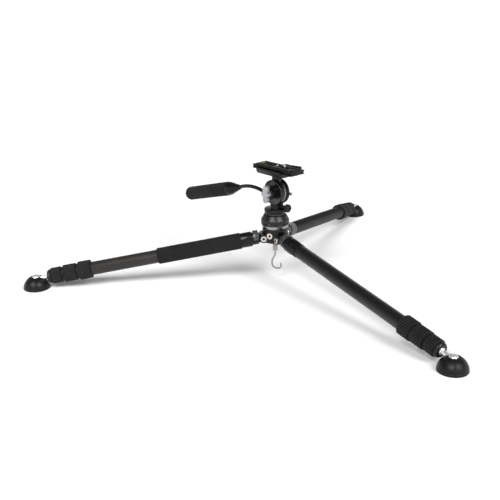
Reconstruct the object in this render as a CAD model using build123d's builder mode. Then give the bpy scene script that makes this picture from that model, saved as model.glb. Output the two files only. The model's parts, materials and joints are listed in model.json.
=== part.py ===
from build123d import *
from math import cos, radians, sin
import os

# Low tripod with a levelling base and a compact fluid head.
# Millimetres. The origin is on the pan axis at floor level, +Z up, the pan handle points to +Y.

# driving dimensions
foot_circle_radius = 502.4
foot_ball_height = 19.9
leg_slope = 9.0
leg_headings = {"front_leg": -98.2, "right_leg": 21.8, "rear_leg": 141.8}
grip_leg = "rear_leg"
hinge_radius = 25.4
tube_diameters = (28.0, 25.0, 22.0, 19.0)
tube_wall = 1.2
lock_diameters = (38.6, 36.0, 33.5)
lock_starts = (363.5, 394.3, 426.2)
lock_lengths = (28.8, 29.9, 24.0)
running_gap = 0.05
head_shift = 5.5
tilt_axis_height = 191.4
plate_top = 245.3
handle_side = -15.6

leg_run = (foot_circle_radius - hinge_radius) / cos(radians(leg_slope))
hinge_height = foot_ball_height + (foot_circle_radius - hinge_radius) * sin(radians(leg_slope)) / cos(
    radians(leg_slope)
)

os.makedirs("parts", exist_ok=True)


def save(builder, name):
    builder.part.label = name
    export_step(builder.part, "parts/" + name + ".step")


def leg_direction(heading):
    level = cos(radians(leg_slope))
    return Vector(cos(radians(heading)) * level, sin(radians(heading)) * level, -sin(radians(leg_slope)))


def tangent(heading):
    return Vector(-sin(radians(heading)), cos(radians(heading)), 0)


def hinge_point(heading):
    angle = radians(heading)
    return Vector(hinge_radius * cos(angle), hinge_radius * sin(angle), hinge_height)


def foot_ball(heading):
    return hinge_point(heading) + leg_direction(heading) * leg_run


def leg_axis(heading):
    return Axis(hinge_point(heading), leg_direction(heading))


def leg_side_plane(heading):
    # x is the distance from the hinge pin along the leg, y the radius above its centre line
    return Plane(hinge_point(heading), x_dir=leg_direction(heading), z_dir=tangent(heading) * -1)


def leg_cross_plane(heading, distance):
    # z runs outward along the leg
    origin = hinge_point(heading) + leg_direction(heading) * distance
    return Plane(origin, x_dir=tangent(heading), z_dir=leg_direction(heading))


def upright_plane(heading, radius=0.0, height=0.0):
    # x runs outward from the pan axis, y is up
    origin = Vector(radius * cos(radians(heading)), radius * sin(radians(heading)), height)
    outward = (cos(radians(heading)), sin(radians(heading)), 0)
    return Plane(origin, x_dir=outward, z_dir=tangent(heading) * -1)


def outline(plane, points):
    with BuildSketch(plane) as face:
        with BuildLine():
            Polyline(*points, close=True)
        make_face()
    return face.sketch


def tube_outline(start, end, inner, outer):
    return [(start, inner), (end, inner), (end, outer), (start, outer)]


# ---------------------------------------------------------------- hub

apex_radius = 26.8
apex_bottom = 86.5
apex_top = 116.3
ear_radius = 9.0
ear_outer = 15.8
ear_inner = 10.2
pin_radius = 4.0
bolt_head_radius = 6.25
bolt_head_height = 2.2
side_screw_height = 103.5
side_screw_shank = 2.5
socket_hex_radius = 2.9
socket_hex_depth = 1.6
hook_bore_radius = 3.0


def bolt_head_plane(heading, side, lift=0.0):
    origin = hinge_point(heading) + tangent(heading) * (ear_outer + lift) * side
    return Plane(origin, x_dir=(0, 0, 1), z_dir=tangent(heading) * side)


def side_screw_plane(heading, lift=0.0):
    outward = Vector(cos(radians(heading + 60)), sin(radians(heading + 60)), 0)
    origin = outward * (apex_radius - 1 + lift) + Vector(0, 0, side_screw_height)
    return Plane(origin, x_dir=(0, 0, 1), z_dir=outward)


with BuildPart() as apex:
    with BuildSketch(Plane.XY.offset(apex_bottom)):
        Circle(apex_radius)
    extrude(amount=apex_top - apex_bottom)
    chamfer(apex.edges().group_by(Axis.Z)[0], 2)
    chamfer(apex.edges().group_by(Axis.Z)[-1], 1)
    with BuildSketch(Plane.XY.offset(apex_bottom - 4)):
        Circle(11)
    extrude(amount=6)
    for heading in leg_headings.values():
        with BuildSketch(upright_plane(heading, hinge_radius, hinge_height)):
            Circle(ear_radius)
            with Locations((-hinge_radius / 2, 0)):
                Rectangle(hinge_radius, 2 * ear_radius)
        extrude(amount=ear_outer, both=True)
    for heading in leg_headings.values():
        with BuildSketch(upright_plane(heading, hinge_radius, hinge_height)):
            Circle(ear_radius + 0.5)
            with Locations((6, -9)):
                Rectangle(34, 18)
            with Locations((12, 5)):
                Rectangle(24, 10)
        extrude(amount=ear_inner, both=True, mode=Mode.SUBTRACT)
        with BuildSketch(upright_plane(heading, hinge_radius, hinge_height)):
            Circle(pin_radius)
        extrude(amount=20, both=True, mode=Mode.SUBTRACT)
        for side in (-1, 1):
            with BuildSketch(bolt_head_plane(heading, side)):
                Circle(bolt_head_radius + 0.4)
            extrude(amount=6, mode=Mode.SUBTRACT)
        with BuildSketch(side_screw_plane(heading)):
            Circle(bolt_head_radius + 0.4)
        extrude(amount=5, mode=Mode.SUBTRACT)
        with BuildSketch(side_screw_plane(heading)):
            Circle(side_screw_shank)
        extrude(amount=-9, mode=Mode.SUBTRACT)
    with BuildSketch(Plane.XY.offset(apex_bottom - 4)):
        Circle(hook_bore_radius)
    extrude(amount=10, mode=Mode.SUBTRACT)
save(apex, "apex_casting")

with BuildPart() as hinge_bolts:
    for heading in leg_headings.values():
        with BuildSketch(upright_plane(heading, hinge_radius, hinge_height)):
            Circle(pin_radius)
        extrude(amount=ear_outer, both=True)
        for side in (-1, 1):
            with BuildSketch(bolt_head_plane(heading, side)):
                Circle(bolt_head_radius)
            extrude(amount=bolt_head_height)
            with BuildSketch(bolt_head_plane(heading, side, bolt_head_height)):
                RegularPolygon(socket_hex_radius, 6)
            extrude(amount=-socket_hex_depth, mode=Mode.SUBTRACT)
save(hinge_bolts, "leg_hinge_bolts")

with BuildPart() as apex_screws:
    for heading in leg_headings.values():
        with BuildSketch(side_screw_plane(heading)):
            Circle(bolt_head_radius)
        extrude(amount=bolt_head_height)
        with BuildSketch(side_screw_plane(heading)):
            Circle(side_screw_shank)
        extrude(amount=-9)
        with BuildSketch(side_screw_plane(heading, bolt_head_height)):
            RegularPolygon(socket_hex_radius, 6)
        extrude(amount=-socket_hex_depth, mode=Mode.SUBTRACT)
save(apex_screws, "apex_side_screws")

cup_bottom = apex_top + 3.0
ring_top = apex_top + 7.5
cup_radius = 24.3
flare_bottom_radius = 25.8
flare_top_radius = 28.8
with BuildPart() as top_ring:
    flare = [
        (12, apex_top),
        (flare_bottom_radius, apex_top),
        (flare_top_radius, ring_top),
        (cup_radius, ring_top),
        (cup_radius, cup_bottom),
        (12, cup_bottom),
    ]
    revolve(outline(Plane.XZ, flare), axis=Axis.Z)
save(top_ring, "top_ring")

# ---------------------------------------------------------------- weight hook

hook_heading = -41.7
wire_radius = 1.8
sleeve_top = 80.2
sleeve_bottom = 64.6

with BuildPart() as hook_sleeve:
    with BuildSketch(Plane.XY.offset(sleeve_bottom)):
        RegularPolygon(4.6, 6, major_radius=False)
    extrude(amount=sleeve_top - sleeve_bottom)
    with BuildSketch(Plane.XY.offset(sleeve_top)):
        Circle(hook_bore_radius)
    extrude(amount=11.5)
    with BuildSketch(Plane.XY.offset(sleeve_bottom)):
        Circle(wire_radius + running_gap)
    extrude(amount=13, mode=Mode.SUBTRACT)
save(hook_sleeve, "hook_sleeve")

hook_plane = Plane(
    (0, 0, 0),
    x_dir=(cos(radians(hook_heading)), sin(radians(hook_heading)), 0),
    z_dir=(sin(radians(hook_heading)), -cos(radians(hook_heading)), 0),
)
with BuildPart() as hook_wire:
    with BuildLine(hook_plane) as hook_path:
        FilletPolyline(
            (0, sleeve_bottom + 12),
            (0, 55),
            (-6.6, 42.5),
            (-6.6, 29),
            (2.5, 23.6),
            (12.2, 23.6),
            (12.2, 35),
            radius=[7, 8, 9, 9, 4.5],
        )
    with BuildSketch(Plane.XY.offset(sleeve_bottom + 12)):
        Circle(wire_radius)
    sweep(path=hook_path.line)
save(hook_wire, "hook_wire")

# ---------------------------------------------------------------- levelling base

levelling_centre = 139.0
ball_radius = 21.0
lock_ring_radius = 29.5
lock_ring_bore = 24.5
lock_ring_bottom = ring_top + 0.3
lock_ring_shoulder = 136.0
lock_ring_top = 144.5
lock_ring_mouth = 22.6
cup_top = 131.0

with BuildPart() as levelling_cup:
    cup = [(0, cup_bottom), (cup_radius, cup_bottom), (cup_radius, cup_top), (0, cup_top)]
    revolve(outline(Plane.XZ, cup), axis=Axis.Z)
    with Locations((0, 0, levelling_centre)):
        Sphere(ball_radius + running_gap, mode=Mode.SUBTRACT)
save(levelling_cup, "levelling_cup")

with BuildPart() as levelling_ring:
    ring = [
        (lock_ring_bore, lock_ring_bottom),
        (lock_ring_radius - 0.6, lock_ring_bottom),
        (lock_ring_radius, lock_ring_bottom + 3),
        (lock_ring_radius, lock_ring_shoulder - 2),
        (lock_ring_radius - 0.8, lock_ring_shoulder),
        (lock_ring_mouth + 0.6, lock_ring_top),
        (lock_ring_mouth, lock_ring_top),
        (lock_ring_mouth, lock_ring_top - 2),
        (lock_ring_bore, lock_ring_shoulder + 1),
    ]
    revolve(outline(Plane.XZ, ring), axis=Axis.Z)
save(levelling_ring, "levelling_lock_ring")

ball_flat = cup_bottom + 0.2
platform_bottom = levelling_centre - 3.5
with BuildPart() as levelling_ball:
    with Locations((0, 0, levelling_centre)):
        Sphere(ball_radius)
    with BuildSketch(Plane.XY.offset(ball_flat)):
        Circle(2 * ball_radius)
    extrude(amount=-10, mode=Mode.SUBTRACT)
    with BuildSketch(Plane.XY.offset(levelling_centre)):
        Circle(2 * ball_radius)
    extrude(amount=30, mode=Mode.SUBTRACT)
    with BuildSketch(Plane.XY.offset(platform_bottom)):
        Circle(ball_radius + 0.4)
    extrude(amount=levelling_centre - platform_bottom)
    chamfer(levelling_ball.edges().filter_by(GeomType.CIRCLE).group_by(Axis.Z)[-1], 0.6)
save(levelling_ball, "levelling_ball")

# ---------------------------------------------------------------- pan base and head frame

pan_split = 149.0
pan_top = 157.5
pan_radius = 22.4
pan_pivot_radius = 8.0
pan_pivot_top = 162.8
yoke_floor = 163.5
drum_radius = 24.3
cheek_radius = 26.2
near_cheek = (head_shift - 10.7, head_shift - 5.6)
far_cheek = (head_shift + 5.6, head_shift + 10.7)
hub_radius = 11.0
axle_radius = 4.0
pan_knob_height = 161.7
pan_knob_radius = 8.5
pan_knob_inner = 27.6
pan_knob_length = 7.5
pan_shaft_radius = 2.5
pan_shaft_end = 8.4
pan_boss_end = 14.0

with BuildPart() as pan_base:
    with BuildSketch(Plane.XY.offset(levelling_centre)):
        Circle(pan_radius - 1.2)
    extrude(amount=pan_split - levelling_centre)
    chamfer(pan_base.edges().group_by(Axis.Z)[-1], 0.5)
    with BuildSketch(Plane.XY.offset(pan_split)):
        Circle(pan_pivot_radius)
    extrude(amount=pan_pivot_top - pan_split)
save(pan_base, "pan_base")

with BuildPart() as head_frame:
    with BuildSketch(Plane.XY.offset(pan_split + 0.3)):
        Circle(pan_radius)
    extrude(amount=pan_top - pan_split - 0.3)
    chamfer(head_frame.edges().group_by(Axis.Z)[-1], 1.2)
    with BuildSketch(Plane.XY.offset(pan_top)):
        with Locations((1.5, 0)):
            Circle(11)
    extrude(amount=yoke_floor + 1 - pan_top)
    with BuildSketch(Plane.XY.offset(yoke_floor)):
        with Locations((head_shift, 0)):
            RectangleRounded(far_cheek[1] - near_cheek[0], 20, 3)
    extrude(amount=tilt_axis_height - drum_radius - yoke_floor)
    for cheek in (near_cheek, far_cheek):
        with BuildSketch(Plane.YZ.offset(cheek[0])):
            with Locations((0, tilt_axis_height)):
                Circle(cheek_radius)
        extrude(amount=cheek[1] - cheek[0])
    with BuildSketch(Plane.XZ.offset(7)):
        with Locations((head_shift, pan_knob_height)):
            Circle(4.8)
    extrude(amount=pan_boss_end - 7)
    with BuildSketch(Plane.YZ.offset(near_cheek[0] - 1)):
        with Locations((0, tilt_axis_height)):
            Circle(hub_radius + running_gap)
    extrude(amount=8, mode=Mode.SUBTRACT)
    with BuildSketch(Plane.YZ.offset(far_cheek[0] - 1)):
        with Locations((0, tilt_axis_height)):
            Circle(axle_radius)
    extrude(amount=8, mode=Mode.SUBTRACT)
    with BuildSketch(Plane.YZ.offset(near_cheek[1])):
        with Locations((0, tilt_axis_height)):
            Circle(drum_radius + 0.3)
    extrude(amount=far_cheek[0] - near_cheek[1], mode=Mode.SUBTRACT)
    with BuildSketch(Plane.XY.offset(pan_split)):
        Circle(pan_pivot_radius + running_gap)
    extrude(amount=pan_pivot_top - pan_split + 0.3, mode=Mode.SUBTRACT)
    with BuildSketch(Plane.XZ.offset(6)):
        with Locations((head_shift, pan_knob_height)):
            Circle(pan_shaft_radius + running_gap)
    extrude(amount=10, mode=Mode.SUBTRACT)
save(head_frame, "head_frame")

with BuildPart() as pan_knob:
    with BuildSketch(Plane.XZ.offset(pan_knob_inner)):
        with Locations((head_shift, pan_knob_height)):
            Circle(pan_knob_radius)
    extrude(amount=pan_knob_length)
    chamfer(pan_knob.edges().filter_by(GeomType.CIRCLE), 0.8)
    with BuildSketch(Plane.XZ.offset(pan_boss_end + 0.3)):
        with Locations((head_shift, pan_knob_height)):
            Circle(4.2)
    extrude(amount=pan_knob_inner - pan_boss_end)
    with BuildSketch(Plane.XZ.offset(pan_shaft_end)):
        with Locations((head_shift, pan_knob_height)):
            Circle(pan_shaft_radius)
    extrude(amount=pan_boss_end + 1 - pan_shaft_end)
save(pan_knob, "pan_lock_knob")

# ---------------------------------------------------------------- tilting drum, axle and knobs

clamp_bottom = 228.0
boss_end = -12.0
stud_radius = 3.0

with BuildPart() as tilt_drum:
    with BuildSketch(Plane.YZ.offset(near_cheek[1] + 0.3)):
        with Locations((0, tilt_axis_height)):
            Circle(drum_radius)
    extrude(amount=far_cheek[0] - near_cheek[1] - 0.6)
    with BuildSketch(Plane.YZ.offset(boss_end)):
        with Locations((0, tilt_axis_height)):
            Circle(hub_radius)
    extrude(amount=near_cheek[1] + 1 - boss_end)
    with BuildSketch(Plane.XY.offset(tilt_axis_height + 15)):
        with Locations((head_shift, 0)):
            RectangleRounded(far_cheek[0] - near_cheek[1] - 0.6, 21, 2)
    extrude(amount=clamp_bottom - tilt_axis_height - 15)
    with BuildSketch(Plane.YZ.offset(boss_end)):
        with Locations((0, tilt_axis_height)):
            Circle(stud_radius + running_gap)
    extrude(amount=12, mode=Mode.SUBTRACT)
    with BuildSketch(Plane.YZ.offset(2)):
        with Locations((0, tilt_axis_height)):
            Circle(axle_radius + running_gap)
    extrude(amount=12, mode=Mode.SUBTRACT)
save(tilt_drum, "tilt_drum")

with BuildPart() as tilt_axle:
    with BuildSketch(Plane.YZ.offset(3)):
        with Locations((0, tilt_axis_height)):
            Circle(axle_radius)
    extrude(amount=far_cheek[1] - 3 + 5)
save(tilt_axle, "tilt_axle")

lever_start = far_cheek[1] + 0.3
lever_dip = 6.5
with BuildPart() as tilt_lever:
    with BuildSketch(Plane.YZ.offset(lever_start)):
        with Locations((0, tilt_axis_height)):
            Circle(8)
        with Locations((-15 * cos(radians(lever_dip)), tilt_axis_height - 15 * sin(radians(lever_dip)))):
            SlotOverall(30, 5.2, rotation=lever_dip)
    extrude(amount=4.7)
    with BuildSketch(Plane.YZ.offset(lever_start)):
        with Locations((0, tilt_axis_height)):
            Circle(axle_radius + running_gap)
    extrude(amount=4.7, mode=Mode.SUBTRACT)
save(tilt_lever, "tilt_lock_lever")

eye_start = -19.3
knob_start = -29.5
knob_end = -19.9
eye_radius = 13.0
with BuildPart() as wing_knob:
    with BuildSketch(Plane.YZ.offset(knob_start)):
        with Locations((0, tilt_axis_height)):
            Circle(8.5)
            SlotOverall(36, 11, rotation=90)
            SlotOverall(21, 9)
    extrude(amount=knob_end - knob_start)
    fillet(wing_knob.edges().filter_by(Axis.X), 1.2)
    with BuildSketch(Plane.YZ.offset(knob_end - 1)):
        with Locations((0, tilt_axis_height)):
            Circle(stud_radius)
    extrude(amount=16)
save(wing_knob, "handle_wing_knob")

# ---------------------------------------------------------------- pan handle

rod_radius = 3.9
handle_grip_radius = 15.0
handle_plane = Plane.YZ.offset(handle_side)
rod_start = (11.3, 190.2)
rod_crown = (52.0, 195.8)
cone_tip = (93.0, 186.5)
handle_drop = 15.6
cone_length = 36.0
grip_length = 148.0
tang_length = 120.0
handle_x_dir = Vector(0, cos(radians(handle_drop)), -sin(radians(handle_drop)))
handle_axis_plane = Plane(
    (handle_side, cone_tip[0], cone_tip[1]), x_dir=handle_x_dir, z_dir=(1, 0, 0)
)
handle_axis = Axis((handle_side, cone_tip[0], cone_tip[1]), handle_x_dir)

with BuildPart() as handle_rod:
    with BuildSketch(Plane.YZ.offset(eye_start)):
        with Locations((0, tilt_axis_height)):
            Circle(eye_radius)
    extrude(amount=boss_end - eye_start - 0.3)
    with BuildLine(handle_plane) as rod_path:
        rod_arch = ThreePointArc(rod_start, rod_crown, cone_tip)
    with BuildSketch(Plane(rod_arch @ 0, z_dir=rod_arch % 0)):
        Circle(rod_radius)
    sweep(path=rod_path.line)
    cone = [
        (-2, 0),
        (-2, rod_radius + 1.2),
        (2, rod_radius + 2.2),
        (cone_length - 8, 14.0),
        (cone_length, 14.4),
        (cone_length, rod_radius),
        (cone_length + tang_length, rod_radius),
        (cone_length + tang_length, 0),
    ]
    revolve(outline(handle_axis_plane, cone), axis=handle_axis)
    with BuildSketch(Plane.YZ.offset(eye_start - 1)):
        with Locations((0, tilt_axis_height)):
            Circle(stud_radius + running_gap)
    extrude(amount=10, mode=Mode.SUBTRACT)
save(handle_rod, "handle_rod")

grip_end = cone_length + grip_length
grip_round = grip_end - 11
with BuildPart() as handle_grip:
    with BuildSketch(handle_axis_plane):
        with BuildLine():
            Line((cone_length + 0.2, rod_radius), (cone_length + 0.2, handle_grip_radius))
            Line((cone_length + 0.2, handle_grip_radius), (grip_round, handle_grip_radius))
            RadiusArc((grip_round, handle_grip_radius), (grip_end, 4), 13)
            Line((grip_end, 4), (grip_end, 0))
            Line((grip_end, 0), (cone_length + tang_length, 0))
            Line((cone_length + tang_length, 0), (cone_length + tang_length, rod_radius))
            Line((cone_length + tang_length, rod_radius), (cone_length + 0.2, rod_radius))
        make_face()
    revolve(axis=handle_axis)
save(handle_grip, "handle_grip")

# ---------------------------------------------------------------- quick-release clamp and plate

clamp_width = 41.0
clamp_length = 70.4
clamp_middle = 1.7
clamp_corner = 1.2
clamp_deck = 236.0
jaw_top = 240.4
plate_width = 38.0
plate_length = 113.0
plate_middle = -3.5
plate_seat = clamp_deck + 0.3
dovetail_depth = 2.6
jaw_clear = 0.3

plate_profile = [
    (-plate_width / 2, plate_seat),
    (plate_width / 2, plate_seat),
    (plate_width / 2, plate_seat + 1.2),
    (plate_width / 2 - dovetail_depth, plate_seat + 1.2 + dovetail_depth),
    (plate_width / 2, plate_seat + 1.6 + 2 * dovetail_depth),
    (plate_width / 2, plate_top - 0.8),
    (-plate_width / 2, plate_top - 0.8),
    (-plate_width / 2, plate_seat + 1.6 + 2 * dovetail_depth),
    (-plate_width / 2 + dovetail_depth, plate_seat + 1.2 + dovetail_depth),
    (-plate_width / 2, plate_seat + 1.2),
]


def jaw_outline(side):
    inner = plate_width / 2 + jaw_clear
    points = [
        (inner, clamp_deck),
        (inner, plate_seat + 1.2),
        (inner - dovetail_depth + 0.4, plate_seat + 0.8 + dovetail_depth),
        (inner - dovetail_depth + 0.4, plate_seat + 1.2 + dovetail_depth),
        (inner + 0.6, jaw_top),
        (inner + 3.2, jaw_top),
        (inner + 4.2, jaw_top - 1.2),
        (inner + 4.2, clamp_deck),
    ]
    return [(side * x + head_shift, z) for x, z in points]


jaw_screw_height = clamp_bottom + 4.4
jaw_outer = head_shift + plate_width / 2 + jaw_clear + 4.2
lever_pivot = (jaw_outer + 10.5, 8.0)
lever_pin_radius = 2.5
lever_bottom = clamp_bottom + 5.0
lever_height = 7.6
bracket_bottom = clamp_bottom - 2.6

# sections of the clamp and plate, extruded toward -Y and +Y from their own middles
clamp_plane = Plane.XZ.offset(-clamp_middle)
plate_plane = Plane.XZ.offset(-plate_middle)

with BuildPart() as clamp_body:
    with BuildSketch(clamp_plane):
        with BuildLine():
            Polyline(
                (head_shift - clamp_width / 2, clamp_bottom + clamp_corner),
                (head_shift - clamp_width / 2 + clamp_corner, clamp_bottom),
                (head_shift + clamp_width / 2 - clamp_corner, clamp_bottom),
                (head_shift + clamp_width / 2, clamp_bottom + clamp_corner),
                (head_shift + clamp_width / 2, clamp_deck),
                (head_shift - plate_width / 2 - jaw_clear - 4.2, clamp_deck),
                (head_shift - plate_width / 2 - jaw_clear - 4.2, clamp_bottom + 6.5),
                close=True,
            )
        make_face()
    extrude(amount=clamp_length / 2, both=True)
    extrude(outline(clamp_plane, jaw_outline(-1)), amount=clamp_length / 2, both=True)
    bracket_start = head_shift + clamp_width / 2 - 12
    bracket_length = lever_pivot[0] + 4 - bracket_start
    with BuildSketch(Plane.XY.offset(bracket_bottom)):
        with Locations((bracket_start + bracket_length / 2, lever_pivot[1])):
            Rectangle(bracket_length, 10)
    extrude(amount=2.7)
    with BuildSketch(Plane.XY.offset(bracket_bottom)):
        with Locations(lever_pivot):
            Circle(lever_pin_radius)
    extrude(amount=lever_bottom + lever_height + 1 - bracket_bottom)
    with BuildSketch(Plane.YZ.offset(head_shift + clamp_width / 2)):
        with Locations((0, jaw_screw_height)):
            Circle(2 + running_gap)
    extrude(amount=-16, mode=Mode.SUBTRACT)
save(clamp_body, "clamp_body")

with BuildPart() as clamp_jaw:
    extrude(outline(clamp_plane, jaw_outline(1)), amount=clamp_length / 2, both=True)
    jaw_base = [
        (head_shift + clamp_width / 2 + 0.3, clamp_deck),
        (head_shift + clamp_width / 2 + 0.3, clamp_bottom + 0.5),
        (jaw_outer + 1, clamp_bottom + 0.5),
        (jaw_outer + 2, clamp_bottom + 1.5),
        (jaw_outer + 2, clamp_deck),
    ]
    extrude(outline(clamp_plane, jaw_base), amount=clamp_length / 2, both=True)
    with BuildSketch(Plane.YZ.offset(head_shift + clamp_width / 2 + 0.3)):
        with Locations((0, jaw_screw_height)):
            Circle(2)
    extrude(amount=-12)
save(clamp_jaw, "clamp_jaw")

with BuildPart() as clamp_lever:
    with BuildSketch(Plane.XY.offset(lever_bottom)):
        with Locations(lever_pivot):
            Circle(6)
    extrude(amount=lever_height)
    with BuildSketch(Plane.XY.offset(lever_bottom + 0.8)):
        with BuildLine():
            Polyline(
                (lever_pivot[0] + 1, 12),
                (lever_pivot[0] + 7, 6),
                (lever_pivot[0] + 13.5, -24),
                (lever_pivot[0] + 9.5, -26),
                (lever_pivot[0] + 4, -22),
                (lever_pivot[0] - 3, 2),
                close=True,
            )
        make_face()
    extrude(amount=lever_height - 1.6)
    with BuildSketch(Plane.XY.offset(lever_bottom)):
        with Locations(lever_pivot):
            Circle(lever_pin_radius + running_gap)
    extrude(amount=lever_height, mode=Mode.SUBTRACT)
save(clamp_lever, "clamp_lever")

camera_screw_y = -23.0
rear_slot_y = 19.0
screw_radius = 3.175
screw_neck_radius = 2.6
screw_top = plate_top + 6
with BuildPart() as quick_plate:
    shifted = [(x + head_shift, z) for x, z in plate_profile]
    extrude(outline(plate_plane, shifted), amount=plate_length / 2, both=True)
    with BuildSketch(Plane.XY.offset(plate_top)):
        with Locations((head_shift, camera_screw_y)):
            SlotOverall(26, 2 * screw_radius + 0.5, rotation=90)
        with Locations((head_shift, rear_slot_y)):
            SlotOverall(24, 2 * screw_radius + 0.5, rotation=90)
    extrude(amount=-12, mode=Mode.SUBTRACT)
    with BuildSketch(Plane.XY.offset(plate_seat)):
        with Locations((head_shift, camera_screw_y)):
            SlotOverall(36, 16, rotation=90)
        with Locations((head_shift, rear_slot_y)):
            SlotOverall(34, 16, rotation=90)
    extrude(amount=3.6, mode=Mode.SUBTRACT)
save(quick_plate, "quick_plate")

with BuildPart() as plate_pads:
    with BuildSketch(Plane.XY.offset(plate_top - 0.8)):
        for side in (-1, 1):
            with Locations((head_shift + side * 12, plate_middle)):
                RectangleRounded(9, plate_length - 14, 2)
    extrude(amount=0.8)
save(plate_pads, "plate_rubber_pads")

with BuildPart() as camera_screw:
    with BuildSketch(Plane.XY.offset(plate_seat + 0.4)):
        with Locations((head_shift, camera_screw_y)):
            Circle(7)
    extrude(amount=2.9)
    with BuildSketch(Plane.XY.offset(plate_seat + 3.3)):
        with Locations((head_shift, camera_screw_y)):
            Circle(screw_neck_radius)
    extrude(amount=plate_top + 0.3 - plate_seat - 3.3)
    with BuildSketch(Plane.XY.offset(plate_top + 0.3)):
        with Locations((head_shift, camera_screw_y)):
            Circle(screw_radius)
    extrude(amount=screw_top - plate_top - 0.3)
    chamfer(camera_screw.edges().group_by(Axis.Z)[-1], 0.6)
    with BuildSketch(Plane.XY.offset(plate_seat + 0.4)):
        with Locations((head_shift, camera_screw_y)):
            Rectangle(10, 1.4)
    extrude(amount=1.2, mode=Mode.SUBTRACT)
save(camera_screw, "camera_screw")

with BuildPart() as plate_pins:
    for pin_y in (-2.5, 38):
        with BuildSketch(Plane.XY.offset(plate_top - 0.8)):
            with Locations((head_shift, pin_y)):
                Circle(2.2)
        extrude(amount=3.8)
        chamfer(plate_pins.edges().group_by(Axis.Z)[-1], 0.4)
save(plate_pins, "anti_twist_pins")

with BuildPart() as safety_screws:
    for end_y in (plate_middle - 52, plate_middle + 52):
        with BuildSketch(Plane.XY.offset(plate_seat)):
            with Locations((head_shift, end_y)):
                Circle(3)
        extrude(amount=-2)
save(safety_screws, "plate_safety_screws")

# ---------------------------------------------------------------- legs

casting_neck_radius = 13.4
neck_start = 10.4
block_start = 23.8
block_end = 45.5
block_radius = 15.6
socket_end = 59.0
socket_radius = 15.0
tube_start = 36.0
tab_start = 9.6
tab_end = 20.8
tab_radius = 16.3
grip_start = 47.0
grip_end = 223.7
foam_radius = 16.9

section_ends = (374.0, 404.0, 436.0, 450.0)
section_starts = (tube_start, 60.0, 78.0, 96.0)
ferrule_walls = (1.8, 1.9, 1.4)
cap_end = 457.0
rod_radius_foot = 4.0
foot_ball_radius = 9.5
foot_radius = 27.1
foot_rim_height = 25.0
end_disc = 450.8
stem_start = 447.0

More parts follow.
